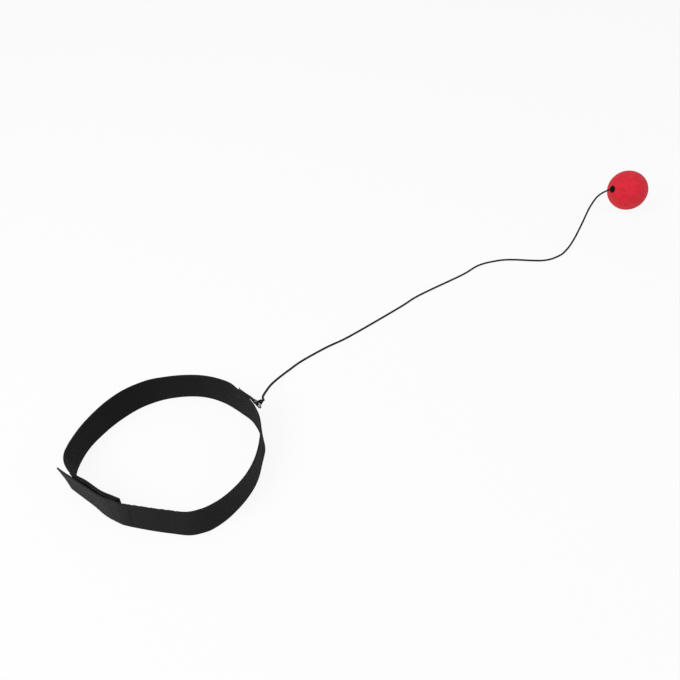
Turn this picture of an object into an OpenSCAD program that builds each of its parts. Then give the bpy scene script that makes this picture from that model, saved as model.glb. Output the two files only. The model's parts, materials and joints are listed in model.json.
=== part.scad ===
/* [Headband] */
// Width of the elastic webbing
strap_w = 33; // [30:1:40]
// Thickness of the elastic webbing
strap_t = 1.6; // [1.2:0.1:1.8]

/* [Closure] */
// Thickness of the hook tape and of the loop tape
tape_t = 0.9; // [0.6:0.1:1.2]
// Bare webbing above and below each tape
tape_margin = 1.5; // [1:0.5:4]
// Gap between the two tapes where the closure is shut
tape_gap = 0.3; // [0.2:0.05:0.5]
// Length of the loop tape
loop_tape_l = 58; // [40:1:60]
// Length of the hook tape
hook_tape_l = 54; // [40:1:58]
// Length of the straight end of the flap, which reaches past the bend of the strap under it
flap_tail = 20; // [16:1:24]

/* [Ring anchor] */
// Length of the doubled ribbon before it opens round the ring
ribbon_l = 24; // [22:1:26]
// Width of the ribbon that holds the ring
ribbon_w = 4; // [3.5:0.5:5]
// Thickness of the ribbon
ribbon_t = 1; // [0.8:0.1:1]
// Wire thickness of the ring
ring_wire = 1.6; // [1.4:0.1:1.8]
// Distance from the ring's bar to its far end
ring_depth = 8; // [8:0.5:10]

/* [Cord] */
// Diameter of the elastic cord
cord_d = 2; // [1.6:0.1:2.2]
// Length of the cut end at the ring's knot
tail_l = 6; // [4:0.5:8]

/* [Ball] */
// Diameter of the ball
ball_d = 57.5; // [54:0.5:62]
// Diameter of the hole through the ball
ball_bore = 6; // [5.6:0.1:7]
// Diameter of the grommet's flange
grommet_d = 10; // [9:0.5:12]
// Length of the grommet inside the ball
grommet_l = 12; // [8:1:18]
// Diameter of the recess for the stop knot
recess_d = 13; // [12:0.5:15]
// Depth of the recess for the stop knot
recess_l = 11; // [10:0.5:14]

/* [Sewing] */
// Length of one stitch
stitch_l = 2.6; // [2:0.1:3]
// Distance from one stitch to the next
stitch_pitch = 3.6; // [3.4:0.1:5]
// Thickness of the thread
thread_d = 0.5; // [0.4:0.05:0.6]

/* [Hidden] */
$fn = 48;

// Middle line of the strap from above, clockwise from its inner end at the closure
loop_points = [
  [-30, -76], [-46, -68], [-60, -58], [-74, -48], [-84, -39], [-91, -27], [-92, -12],
  [-88, 9], [-79, 29], [-66, 49], [-49, 66], [-27, 78], [-2, 83], [23, 82], [45, 74],
  [63, 60], [77, 46], [85, 30], [91, 9], [91, -15], [86, -38], [74, -61], [58, -79],
  [37, -90], [14, -88], [-10, -84]
];

// Middle line of the cord, from the knot at the ring to just short of the ball
cord_route = [
  [88.6, 47.9, 30.8], [88.7, 53, 28.5], [88, 60, 25], [89.5, 76, 16.5], [93.5, 92.5, 10], [101, 108.5, 5],
  [111, 123.5, 2], [124, 138.5, 1], [152, 162, 1], [181, 183, 1], [242, 236, 1], [264, 257, 1],
  [286, 274, 1], [332, 307, 1], [356, 328, 1], [379, 338, 1], [402, 342, 1], [446, 340, 1],
  [470, 350, 1.5], [484, 363, 3], [499, 384, 7], [517, 415, 14], [534, 445, 22], [550, 464, 30.5]
];

// Where the ball lies, and how its hole is turned from -X towards -Y and tilted up
ball_at = [599, 483, ball_d / 2];
bore_turn = 17;
bore_tilt = 13;

// Distance along the strap from its inner end to the ribbon's sewn end, the length of ribbon that lies
// on the strap before it runs straight, and the run in which it opens round the ring's bar
ribbon_at = 306;
ribbon_sewn = 12;
ribbon_opens = 3;
layer_gap = 0.1;

// Height of the ring's middle, the way the ring points out from its bar, the place along its upper arm
// of the cord's loop, and the way the cut end of the cord points there
ring_z = 31.4;
ring_turn = -48;
loop_along = 4.4;
tail_way = [-0.4, 0.1, -0.9];

// Running gap round moving pieces, the gap where the flap turns on the strap, and the gaps that the
// grommet's flange and the stop washer have all round
turn_gap = 0.3;
flap_gap = 0.4;
seat_gap = 0.1;
washer_gap = 0.5;

// Bare webbing between the flap's turning line and its hook tape, and at the strap's inner end
hook_tape_at = 8;
loop_tape_at = 3;
flap_under = 52;

// Distance from the edge of a tape to its stitches, and the places of the stitches across the ribbon
seam_inset = 2;
ribbon_rows = [1.5, 3.5, 5.5, 7.5];

// Turns of cord in a knot, and how far they lie from its middle and apart in cord diameters
wraps = 3;
wrap_out = 0.7;
wrap_pitch = 0.85;

// Steps from one point of a line to the next, sides of the cord, and how far a cut runs past a face
loop_steps = 6;
cord_steps = 3;
cord_sides = 8;
past = 1;

stack = strap_t + 2 * tape_t + tape_gap;
tape_low = tape_margin;
tape_high = strap_w - tape_margin;

function unit(v) = v / norm(v);
function left_of(v) = [-v.y, v.x] / norm(v);
function last(list) = list[len(list) - 1];
function backwards(list) = [for (i = [len(list) - 1:-1:0]) list[i]];

// Point at t of the curve from b to c, which takes its slope there from a and d
function curve_point(a, b, c, d, t) =
  (2 * b + (c - a) * t + (2 * a - 5 * b + 4 * c - d) * t * t + (3 * b - a - 3 * c + d) * t * t * t) / 2;

// Smooth line through all points but the first and last, which only give the end slopes
function smooth_line(points, steps) = concat(
  [for (i = [1:len(points) - 3]) for (k = [0:steps - 1])
    curve_point(points[i - 1], points[i], points[i + 1], points[i + 2], k / steps)],
  [points[len(points) - 2]]);

// Place on a line at a distance along it, as its point and its unit direction
function place(line, distance, i = 0) =
  let (step = norm(line[i + 1] - line[i]))
  distance <= step || i == len(line) - 2
    ? [line[i] + (line[i + 1] - line[i]) * distance / step, unit(line[i + 1] - line[i])]
    : place(line, distance - step, i + 1);

function distances(line, i = 0, sum = 0) =
  i == len(line) - 1 ? [sum] : concat([sum], distances(line, i + 1, sum + norm(line[i + 1] - line[i])));

function line_length(line) = last(distances(line));

// Stretch of a line between two distances along it
function stretch(line, from, to) =
  let (at = distances(line), margin = 0.2)
  concat([place(line, from)[0]],
    [for (i = [0:len(line) - 1]) if (at[i] > from + margin && at[i] < to - margin) line[i]],
    [place(line, to)[0]]);

// Outward side at point i of a line that runs clockwise
function side(line, i) =
  left_of(line[min(i + 1, len(line) - 1)] - line[max(i - 1, 0)]);

function beside(line, offset) = [for (i = [0:len(line) - 1]) line[i] + side(line, i) * offset];

// Line with a straight run added at its end
function with_tail(line, run) =
  concat(line, [last(line) + unit(last(line) - line[len(line) - 2]) * run]);

strap_start = loop_points[0];
strap_slope = loop_points[1] - loop_points[0];
flap_root = strap_start + left_of(strap_slope) * stack;
strap_line = smooth_line(
  concat([strap_start - strap_slope], loop_points, [flap_root, flap_root + strap_slope]), loop_steps);
strap_end = line_length(strap_line) - strap_t - flap_gap;
flap_line = with_tail(beside(stretch(strap_line, 0, flap_under), stack), flap_tail);

ribbon_line = with_tail(stretch(strap_line, ribbon_at, ribbon_at + ribbon_sewn), ribbon_l - ribbon_sewn);
ribbon_face = strap_t / 2 + 2 * ribbon_t + layer_gap;
ribbon_end = place(ribbon_line, ribbon_l + ribbon_opens);
ring_bar = ribbon_end[0] + left_of(ribbon_end[1]) * (strap_t / 2 + ribbon_t + layer_gap / 2);
bow_r = ribbon_w / 2 + turn_gap + ring_wire / 2;
ring_way = [cos(ring_turn), sin(ring_turn), 0];
loop_at = [ring_bar.x, ring_bar.y, ring_z + bow_r] + ring_way * loop_along;
knot_way = unit(cord_route[0] - loop_at);
knot_loop_r = ring_wire / 2 + turn_gap + cord_d / 2;
wrap_r = wrap_out * cord_d;
wrap_step = wrap_pitch * cord_d;
wraps_l = (wraps - 1) * wrap_step + cord_d / 2;

ball_way = [-cos(bore_tilt) * cos(bore_turn), -cos(bore_tilt) * sin(bore_turn), sin(bore_tilt)];
flange_t = 1.4;
seat_depth = 0.8;
seat_floor = ball_d / 2 - seat_depth;
grommet_face = seat_floor + flange_t;
washer_t = 1;
washer_d = recess_d - 2 * washer_gap;
recess_floor = -ball_d / 2 + recess_l;
knot_top = recess_floor - washer_t - turn_gap;
cord_hole = cord_d + 2 * turn_gap;

cord_end = ball_at + ball_way * grommet_face;
cord_line = smooth_line(
  concat([cord_route[0] - knot_way * cord_d, cord_route[0], cord_route[0] + knot_way * cord_d],
    [for (i = [1:len(cord_route) - 1]) cord_route[i]],
    [cord_end + ball_way * cord_d, cord_end, cord_end - ball_way * cord_d]), cord_steps);

// Upright strip of webbing beside a line, between two offsets from it
module strip(line, inner, outer, low, high) {
  translate([0, 0, low]) linear_extrude(high - low)
    polygon(concat(beside(line, outer), backwards(beside(line, inner))));
}

// One stitch on a face beside a line, along the line or upright
module stitch(line, distance, face, height, upright = false) {
  at = place(line, distance);
  centre = at[0] + left_of(at[1]) * face;
  translate([centre.x, centre.y, height])
    rotate([0, upright ? 90 : 0, atan2(at[1].y, at[1].x)])
      cube([stitch_l, thread_d, thread_d], center = true);
}

// Upright row of stitches
module seam_upright(line, distance, face, low, high) {
  count = floor((high - low) / stitch_pitch);
  for (k = [0:count])
    stitch(line, distance, face, (low + high) / 2 + (k - count / 2) * stitch_pitch, true);
}

// Stitches all round a rectangle on a face
module seam_box(line, from, to, face, low, high) {
  count = floor((to - from - stitch_pitch) / stitch_pitch);
  for (k = [0:count], height = [low, high])
    stitch(line, (from + to) / 2 + (k - count / 2) * stitch_pitch, face, height);
  for (distance = [from, to])
    seam_upright(line, distance, face, low + stitch_pitch / 2, high - stitch_pitch / 2);
}

// Round turns of cord side by side up the Z axis
module cord_wraps() {
  for (k = [0:wraps - 1])
    translate([0, 0, k * wrap_step]) rotate_extrude() translate([wrap_r, 0]) circle(d = cord_d);
  translate([0, 0, -cord_d / 2]) cylinder(d = cord_d, h = (wraps - 1) * wrap_step + cord_d);
}

// Turns the Z axis to point along a direction
module pointed(way) {
  rotate([0, acos(way.z / norm(way)), atan2(way.y, way.x)]) children();
}

// Places what is drawn up the Z axis on the axis of the ball's hole, from the ball's centre
module on_ball_axis() {
  translate(ball_at) pointed(ball_way) children();
}

module headband_strap() {
  band = stretch(strap_line, 0, strap_end);
  color([0.14, 0.14, 0.15]) {
    strip(band, -strap_t / 2, strap_t / 2, 0, strap_w);
    translate(last(band)) cylinder(d = strap_t, h = strap_w);
  }
}

module loop_tape() {
  color([0.1, 0.1, 0.11])
    strip(stretch(strap_line, loop_tape_at, loop_tape_at + loop_tape_l),
      strap_t / 2, strap_t / 2 + tape_t, tape_low, tape_high);
}

module loop_tape_stitches() {
  color([0.2, 0.2, 0.21])
    seam_box(strap_line, loop_tape_at + seam_inset, loop_tape_at + loop_tape_l - seam_inset,
      -strap_t / 2, tape_low + seam_inset, tape_high - seam_inset);
}

module closure_flap() {
  color([0.22, 0.22, 0.23]) {
    strip(flap_line, -strap_t / 2, strap_t / 2, 0, strap_w);
    translate(flap_line[0]) cylinder(d = strap_t, h = strap_w);
  }
}

module hook_tape() {
  color([0.1, 0.1, 0.11])
    strip(stretch(flap_line, hook_tape_at, hook_tape_at + hook_tape_l),
      -strap_t / 2 - tape_t, -strap_t / 2, tape_low, tape_high);
}

module hook_tape_stitches() {
  color([0.2, 0.2, 0.21])
    seam_box(flap_line, hook_tape_at + seam_inset, hook_tape_at + hook_tape_l - seam_inset,
      strap_t / 2, tape_low + seam_inset, tape_high - seam_inset);
}

// Ribbon lies double on the strap near its upper edge, and its fold goes round the ring's bar
module ring_ribbon() {
  fold_r = ring_wire / 2 + turn_gap;
  end_in = last(beside(ribbon_line, strap_t / 2));
  end_out = last(beside(ribbon_line, ribbon_face));
  fold_side = left_of(ribbon_end[1]) * (fold_r + ribbon_t);
  color([0.12, 0.12, 0.13])
    translate([0, 0, ring_z - ribbon_w / 2])
      difference() {
        union() {
          strip(ribbon_line, strap_t / 2, ribbon_face, 0, ribbon_w);
          linear_extrude(ribbon_w)
            polygon([end_in, end_out, ring_bar + fold_side, ring_bar - fold_side]);
          translate(ring_bar) cylinder(r = fold_r + ribbon_t, h = ribbon_w);
        }
        translate([ring_bar.x, ring_bar.y, -past]) cylinder(r = fold_r, h = ribbon_w + 2 * past);
      }
}

module ring_ribbon_stitches() {
  color([0.24, 0.24, 0.25])
    for (distance = ribbon_rows)
      stitch(ribbon_line, distance, ribbon_face, ring_z, true);
}

module anchor_ring() {
  arm_l = ring_depth - bow_r;
  color([0.62, 0.62, 0.64])
    translate([ring_bar.x, ring_bar.y, ring_z]) rotate([90, 0, ring_turn]) {
      rotate([90, 0, 0]) cylinder(d = ring_wire, h = 2 * bow_r, center = true);
      for (end = [-1, 1]) translate([0, end * bow_r, 0]) {
        sphere(d = ring_wire);
        rotate([0, 90, 0]) cylinder(d = ring_wire, h = arm_l);
      }
      translate([arm_l, 0, 0]) rotate([0, 0, -90])
        rotate_extrude(angle = 180) translate([bow_r, 0]) circle(d = ring_wire);
    }
}

module ring_knot() {
  color([0.09, 0.09, 0.1]) {
    translate(loop_at) pointed(ring_way)
      rotate_extrude() translate([knot_loop_r, 0]) circle(d = cord_d);
    translate(cord_route[0]) pointed(knot_way)
      translate([0, 0, -wraps_l]) cord_wraps();
    translate(cord_route[0] - knot_way * wrap_step)
      pointed(tail_way) cylinder(d = cord_d, h = wrap_r + tail_l);
  }
}

// Ring of points round place i of the cord
function cord_ring(i) =
  let (
    way = unit(cord_line[min(i + 1, len(cord_line) - 1)] - cord_line[max(i - 1, 0)]),
    across = unit(cross(way, [0, 0, 1])),
    up = cross(across, way),
    centre = [cord_line[i].x, cord_line[i].y, max(cord_line[i].z, cord_d / 2)]
  )
  [for (k = [0:cord_sides - 1])
    let (turn = 360 * (k + 0.5) / cord_sides)
    centre + (across * cos(turn) + up * sin(turn)) * cord_d / 2];

module elastic_cord() {
  rings = len(cord_line);
  points = [for (i = [0:rings - 1]) each cord_ring(i)];
  sides = [for (i = [0:rings - 2], k = [0:cord_sides - 1])
    let (a = i * cord_sides + k, b = i * cord_sides + (k + 1) % cord_sides)
    each [[a, a + cord_sides, b], [b, a + cord_sides, b + cord_sides]]];
  first_cap = [for (k = [1:cord_sides - 2]) [0, k, k + 1]];
  base = (rings - 1) * cord_sides;
  last_cap = [for (k = [1:cord_sides - 2]) [base, base + k + 1, base + k]];
  color([0.08, 0.08, 0.09]) polyhedron(points, concat(sides, first_cap, last_cap));
}

module ball() {
  color([0.83, 0.17, 0.21])
    difference() {
      translate(ball_at) sphere(d = ball_d);
      on_ball_axis() {
        cylinder(d = ball_bore, h = ball_d + 2 * past, center = true);
        translate([0, 0, seat_floor]) cylinder(d = grommet_d + 2 * seat_gap, h = seat_depth + past);
        translate([0, 0, recess_floor - recess_l - past]) cylinder(d = recess_d, h = recess_l + past);
      }
    }
}

module ball_grommet() {
  lip_r = 0.6;
  color([0.08, 0.08, 0.09])
    on_ball_axis()
      difference() {
        union() {
          translate([0, 0, seat_floor]) cylinder(d = grommet_d, h = flange_t - lip_r);
          translate([0, 0, seat_floor]) cylinder(d = grommet_d - 2 * lip_r, h = flange_t);
          translate([0, 0, seat_floor + flange_t - lip_r])
            rotate_extrude() translate([grommet_d / 2 - lip_r, 0]) circle(r = lip_r);
          translate([0, 0, seat_floor - grommet_l]) cylinder(d = ball_bore, h = grommet_l);
        }
        translate([0, 0, seat_floor - grommet_l - past])
          cylinder(d = cord_hole, h = grommet_l + flange_t + 2 * past);
      }
}

module cord_in_ball() {
  color([0.08, 0.08, 0.09])
    on_ball_axis()
      translate([0, 0, knot_top]) cylinder(d = cord_d, h = grommet_face - knot_top);
}

module stop_washer() {
  color([0.5, 0.5, 0.52])
    on_ball_axis()
      translate([0, 0, recess_floor - washer_t])
        difference() {
          cylinder(d = washer_d, h = washer_t);
          translate([0, 0, -past]) cylinder(d = cord_hole, h = washer_t + 2 * past);
        }
}

module stop_knot() {
  color([0.08, 0.08, 0.09])
    on_ball_axis()
      translate([0, 0, knot_top - wraps_l]) cord_wraps();
}

headband_strap();
loop_tape();
loop_tape_stitches();
closure_flap();
hook_tape();
hook_tape_stitches();
ring_ribbon();
ring_ribbon_stitches();
anchor_ring();
ring_knot();
elastic_cord();
ball();
ball_grommet();
cord_in_ball();
stop_washer();
stop_knot();
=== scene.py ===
import json
import math

import bpy
import numpy as np
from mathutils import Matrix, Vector, noise


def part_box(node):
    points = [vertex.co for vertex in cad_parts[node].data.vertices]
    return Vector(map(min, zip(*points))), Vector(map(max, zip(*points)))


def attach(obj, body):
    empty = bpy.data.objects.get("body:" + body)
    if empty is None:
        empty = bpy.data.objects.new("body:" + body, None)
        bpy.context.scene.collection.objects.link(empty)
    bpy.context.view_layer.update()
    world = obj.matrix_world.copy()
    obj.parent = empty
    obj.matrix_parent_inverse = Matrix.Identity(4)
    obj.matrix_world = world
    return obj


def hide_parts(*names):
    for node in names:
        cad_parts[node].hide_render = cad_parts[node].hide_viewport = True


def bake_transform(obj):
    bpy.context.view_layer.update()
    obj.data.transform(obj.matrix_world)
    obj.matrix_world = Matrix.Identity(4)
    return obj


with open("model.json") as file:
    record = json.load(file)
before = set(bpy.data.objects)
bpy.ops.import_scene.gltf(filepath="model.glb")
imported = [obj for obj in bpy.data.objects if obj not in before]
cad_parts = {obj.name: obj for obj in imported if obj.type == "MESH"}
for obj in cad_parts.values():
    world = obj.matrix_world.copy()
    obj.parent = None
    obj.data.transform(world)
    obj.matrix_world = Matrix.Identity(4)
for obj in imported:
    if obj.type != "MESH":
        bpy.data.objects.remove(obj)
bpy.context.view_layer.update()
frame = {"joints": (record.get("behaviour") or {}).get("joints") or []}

MM = 0.001

# Webbing of the headband, in millimetres, with the inward bow of its faces at mid height
STRAP_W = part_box("headband_strap")[1].z / MM
STRAP_T = 1.6
STRAP_BOW = 0.4
RIBS = 25
RIB_RELIEF = 0.12
EDGE = 1.0
RIB = (STRAP_W - 2 * EDGE) / RIBS
PICK = 1.1

# Turns of weft yarn over the webbing's edges
TURN_PITCH = 1.7
TURN_SINK = 0.28
TURN_REACH = STRAP_T * 0.98
TURN_RISE = 0.5
TURN_D = 0.62

# Closure: its two tapes, then the flap's length, bend and cut end
TAPE_T = 0.9
TAPE_BASE = 0.5
TAPE_MARGIN = 1.5
TAPE_GAP = 0.3
LOOP_TAPE_AT = 3.0
LOOP_TAPE_L = 58.0
HOOK_TAPE_AT = 8.0
HOOK_TAPE_L = 54.0
FLAP_UNDER = 52.0
FLAP_TAIL = 21.2
FLAP_SPLICE = 12.0
FLAP_SETTLE = 16.0
FLAP_HEM = 3.2
FLAP_DIP = 0.8
FLAP_SLANT = 4.0
CUT_RUN = 12.0
CUT_PIVOT = 0.75
STACK = STRAP_T + 2 * TAPE_T + TAPE_GAP
TAPE_LOW = TAPE_MARGIN
TAPE_HIGH = STRAP_W - TAPE_MARGIN
TAPE_STOPS = 50

# Pile and hooks of the tapes, with the pile's loops to the square metre
PILE_DENSITY = 1.15e6
PILE_ROWS = 16
PILE_END = 0.5
PILE_SIDE = 0.6
PILE_SINK = 0.06
PILE_L = 0.9
PILE_H = 0.36
PILE_D = 0.12
HOOK_PITCH = 1.5
HOOK_FIRST = 1.0
HOOK_LAST = 0.6
HOOK_SINK = 0.04
HOOK_L = 0.7
HOOK_H = 0.4
HOOK_D = 0.2

# How far the foot and the top stand out from the strip's line, by the distance along the strip
STRAP_LEANS = [
    (-12, -0.5, -1.5), (0, -0.6, -1.2), (12, -0.7, -0.8), (20, -0.9, -0.1), (30, -1.0, 0.3),
    (42, -1.1, 0.4), (52, -1.2, 1.7), (60, -1.2, 2.6), (68, -1.2, 2.5), (78, -1.1, 2.2), (87, -1.0, 1.9),
    (95, -1.0, 1.3), (117, -1.0, 0.3), (150, -1.5, 1.3), (172, -1.8, 1.7), (190, -1.2, 1.2),
    (205, -0.8, 0.9), (220, -0.2, -0.2), (240, 0.4, 0.0), (255, 0.3, 0.3), (270, -0.3, 0.8),
    (282, -0.9, 1.3), (294, -1.0, 2.0), (304, -0.6, 1.1), (312, -0.5, 0.2), (324, 0.1, -0.1),
    (334, 0.3, -0.2), (350, 1.0, 0.3), (368, 1.0, -0.8), (380, -0.3, -0.7), (390, -0.9, -0.6),
    (410, -0.4, -0.4), (430, -0.1, 0.1), (448, 0.0, -0.2), (464, 0.5, -0.5), (476, 1.1, -0.7),
    (487, 0.4, -1.3), (510, 0.8, -1.1), (535, 0.8, -0.9), (560, 0.3, -0.6), (600, 0.3, -0.6),
]
FLAP_LEANS = [
    (-20, 0.0, -0.5), (0, 0.0, -0.5), (20, 0.0, 0.2), (34, -0.4, 1.0), (48, -1.1, 1.6),
    (62, -1.3, 2.3), (76, -0.9, 2.9), (86, -0.7, 3.3), (110, -0.7, 3.3),
]

# Painted light on the flap, paler where its face takes the lamps: its start, the length it comes up over,
# the shade before it and its lift
PAINTED_LIGHT_FROM = 3.0
PAINTED_LIGHT_OVER = 28.0
UNLIT_SHARE = 0.27
PAINTED_LIGHT_LIFT = 0.24

# Small waves along the top edge where the front meets the closure
SCALLOP = 0.28
SCALLOP_PITCH = 5.0
SCALLOP_SWAYS = (23.0, 17.0, 8.3)
SCALLOP_FROM = 492.0
SCALLOP_RISE = 12.0
SCALLOP_FADE = 8.0

# Anchor of the ring
RIBBON_AT = 306.0
RIBBON_SEWN = 12.0
RIBBON_L = 24.0
RIBBON_ROWS = (1.5, 3.5, 5.5, 7.5)
RIBBON_W = 4.0
RIBBON_T = 0.95
RIBBON_IN = 1.3
RIBBON_OUT = 2.4
RIBBON_FACE = 2.9
RIBBON_LIFT = 1.4
LIFT_RUN = 4.0
LIFT_LEAD = 0.6
RIBBON_BOW = 0.4
RIBBON_FLARE = 1.2
FLARE_RUN = 2.5
FOLD_PAST = 0.2
SLACK = 0.3
RING_WIRE = 1.6
RING_DEPTH = 8.0
RING_CORNER = 1.2

# Sewing
STITCH_L = 2.6
STITCH_PITCH = 3.6
THREAD_D = 0.5
SEAM_INSET = 2.0

# Cord and knots
CORD_D = 2.5
BRAID_PITCH = 2.2
BRAID_STRANDS = 4
BRAID_RELIEF = 0.03
WRAPS = 3
WRAP_R = 1.3
WRAP_STEP = 1.6
KNOT_LOOP_R = 2.1
KNOT_LOOP_TURN = (35, -215)
KNOT_BACK = 2.0
KNOT_STOPS = 420
RING_KNOT_R = 1.0
STOP_KNOT_R = 0.92
STOP_WRAP_R = WRAP_R + 0.15
TAIL_L = 6.0
TAIL_WAY = (-0.4, 0.1, -0.9)

# Ball, from its centre along the axis of its hole
BALL_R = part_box("ball")[1].z / MM / 2
BORE_R = 3.0
SEAT_R = 5.1
SEAT_DEPTH = 0.8
SEAT_FLOOR = BALL_R - SEAT_DEPTH
RECESS_R = 6.5
RECESS_L = 11.0
RECESS_FLOOR = RECESS_L - BALL_R
FLANGE_T = 1.4
GROMMET_FACE = SEAT_FLOOR + FLANGE_T
GROMMET_R = 5.0
GROMMET_L = 12.0
CORD_HOLE_R = 1.3
WASHER_R = 6.0
WASHER_T = 1.0
KNOT_TOP = RECESS_FLOOR - WASHER_T - SLACK

# Uneven skin of the foam: its depth, then the height and the closeness of each wave
FOAM_SKIN = 1.2
FOAM_WAVES = ((0.16, 0.16), (0.09, 0.5), (0.05, 1.1))

# Floor in millimetres, and the shares of light from the floor and the surround
FLOOR_HALF = 6000.0
FLOOR_STEPS = 12
FLOOR_DROP = 0.15
FLOOR_GLOW = 0.91
WORLD_LIGHT = 0.40
WORLD_SEEN = 1.0

# Camera: aim in plan, distance and sensor in metres and millimetres, tilt in degrees, lens in pixels
CAMERA_AIM = (0.1686, 0.177)
CAMERA_FAR = 0.838
CAMERA_TILT = 41.5
SENSOR = 36.0
FOCAL = 700
PICTURE = 680

# Lamps: name, place and size in metres, and power in watts
LAMP_AIM = (0.2, 0.15, 0.0)
LAMPS = [
    ("front_box", (-0.9, -0.75, 1.25), 1.0, 18.0),
    ("right_box", (1.3, -0.3, 0.8), 0.8, 2.0),
    ("top_box", (-0.3, 0.3, 1.7), 1.0, 4.0),
]

# Middle line of the strap from above, clockwise from its inner end
LOOP_POINTS = [
    [-30, -76], [-46, -68], [-60, -58], [-74, -48], [-84, -39], [-91, -27], [-92, -12],
    [-88, 9], [-79, 29], [-66, 49], [-49, 66], [-27, 78], [-2, 83], [23, 82], [45, 74],
    [63, 60], [77, 46], [85, 30], [91, 9], [91, -15], [86, -38], [74, -61], [58, -79],
    [37, -90], [14, -88], [-10, -84],
]

# Middle line of the cord, from the knot at the ring to just short of the ball
CORD_ROUTE = [
    [88.6, 47.9, 30.8], [88.7, 53, 28.5], [88, 60, 25], [89.5, 76, 16.5], [93.5, 92.5, 10], [101, 108.5, 5],
    [111, 123.5, 2], [124, 138.5, 1], [152, 162, 1], [181, 183, 1], [242, 236, 1], [264, 257, 1],
    [286, 274, 1], [332, 307, 1], [356, 328, 1], [379, 338, 1], [402, 342, 1], [446, 340, 1],
    [470, 350, 1.5], [484, 363, 3], [499, 384, 7], [517, 415, 14], [534, 445, 22], [550, 464, 30.5],
]

JOINTS = {joint["name"]: joint for joint in frame["joints"]}
RING_BAR = np.array(JOINTS["ring_swing"]["pos_m"]) / MM
RING_WAY = np.array(JOINTS["cord_lift"]["axis"])
LOOP_AT = np.array(JOINTS["cord_lift"]["pos_m"]) / MM
BALL_AT = np.array(JOINTS["ball_spin"]["pos_m"]) / MM
BALL_WAY = np.array(JOINTS["ball_spin"]["axis"])
UP = np.array([0.0, 0.0, 1.0])


def unit(vector):
    return np.asarray(vector, float) / np.linalg.norm(vector)


def smooth_step(value):
    value = np.clip(value, 0, 1)
    return value * value * (3 - 2 * value)


def smooth_line(points, steps):
    """Smooth line through all points but the first and last, which only give the end slopes."""
    points = np.array(points, float)
    line = []
    for a, b, c, d in zip(points, points[1:], points[2:], points[3:]):
        for t in np.arange(steps) / steps:
            square = (2 * a - 5 * b + 4 * c - d) * t * t
            cube = (3 * b - a - 3 * c + d) * t ** 3
            line.append((2 * b + (c - a) * t + square + cube) / 2)
    line.append(points[-2])
    return np.array(line)


class Line:
    """Points joined up, with places by the distance along them."""

    def __init__(self, points):
        self.points = np.array(points, float)
        steps = np.linalg.norm(np.diff(self.points, axis=0), axis=1)
        self.at = np.concatenate([[0.0], np.cumsum(steps)])
        self.length = self.at[-1]

    def place(self, along):
        """Places on the line, and straight on past its ends."""
        along = np.asarray(along, float)
        inside = np.clip(along, 0, self.length)
        axes = range(self.points.shape[1])
        spot = np.stack([np.interp(inside, self.at, self.points[:, k]) for k in axes], axis=-1)
        past = (along - inside)[..., None]
        start, end = (unit(self.points[k + 1] - self.points[k]) for k in (0, -2))
        return spot + past * np.where(past > 0, end, start)

    def way(self, along, span=0.6):
        step = self.place(np.asarray(along) + span) - self.place(np.asarray(along) - span)
        return step / np.linalg.norm(step, axis=-1, keepdims=True)

    def side(self, along):
        """Outward side of a line in plan that runs clockwise."""
        way = self.way(along)
        return np.stack([-way[..., 1], way[..., 0]], axis=-1)

    def stretch(self, start, end, step=0.8):
        return self.place(np.linspace(start, end, int((end - start) / step) + 2))


def line_through(points, steps):
    """Smooth line through all points, straight on at its ends."""
    first, last = 2 * points[0] - points[1], 2 * points[-1] - points[-2]
    return Line(smooth_line([first, *points, last], steps))


def left_of(vector):
    return unit([-vector[1], vector[0]])


def ball_axes():
    """Two directions across the axis of the ball's hole."""
    across = unit(np.cross(BALL_WAY, UP))
    return across, np.cross(BALL_WAY, across)


def lines_in_plan():
    """Lines of the strap, of the flap with the end of the strap before it, and of the ribbon's run."""
    first, second = np.array(LOOP_POINTS[0], float), np.array(LOOP_POINTS[1], float)
    slope = second - first
    root = first + left_of(slope) * STACK
    strap = Line(smooth_line([first - slope, *LOOP_POINTS, root, root + slope], 24))
    under = strap.stretch(0, FLAP_UNDER)
    over = under + strap.side(np.linspace(0, FLAP_UNDER, len(under))) * STACK
    over = np.vstack([over, over[-1] + unit(over[-1] - over[-2]) * FLAP_TAIL])
    flap = Line(np.vstack([strap.stretch(strap.length - FLAP_SPLICE, strap.length)[:-1], over]))
    sewn = strap.stretch(RIBBON_AT, RIBBON_AT + RIBBON_SEWN)
    run = unit(RING_BAR[:2] - left_of(sewn[-1] - sewn[-2]) * (RIBBON_IN + RIBBON_OUT) / 2 - sewn[-1])
    return strap, flap, Line(np.vstack([sewn, sewn[-1] + run * (RIBBON_L - RIBBON_SEWN)]))


STRAP, FLAP, RIBBON_RUN = lines_in_plan()
FLAP_ROOT = FLAP.place(FLAP_SPLICE)
FLAP_WAY = FLAP.way(FLAP_SPLICE)
STRAP_LEAN_LINE = smooth_line(STRAP_LEANS, 12)
FLAP_LEAN_LINE = smooth_line(FLAP_LEANS, 12)


def lean_at(line, along):
    return np.stack([np.interp(along, line[:, 0], line[:, k]) for k in (1, 2)])


def strap_lean(along):
    return lean_at(STRAP_LEAN_LINE, along)


def flap_lean(along):
    """As the strap's own up to the flap's root, and the flap's within a short length after it."""
    before = strap_lean(np.asarray(along) + STRAP.length - FLAP_SPLICE)
    share = smooth_step((np.asarray(along) - FLAP_SPLICE) / FLAP_SETTLE)
    return before * (1 - share) + lean_at(FLAP_LEAN_LINE, along) * share


def no_lean(along):
    return np.zeros((2, *np.shape(along)))


def strap_scallop(along):
    """Uneven waves, whose pitch, height and middle sway."""
    pitch, height, middle = (np.sin(2 * math.pi * along / sway) for sway in SCALLOP_SWAYS)
    wave = np.sin(2 * math.pi * along / SCALLOP_PITCH + 1.2 * pitch)
    wave = wave * (0.7 + 0.3 * height) + 0.5 * middle
    return SCALLOP * wave * smooth_step((along - SCALLOP_FROM) / SCALLOP_RISE)


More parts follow.
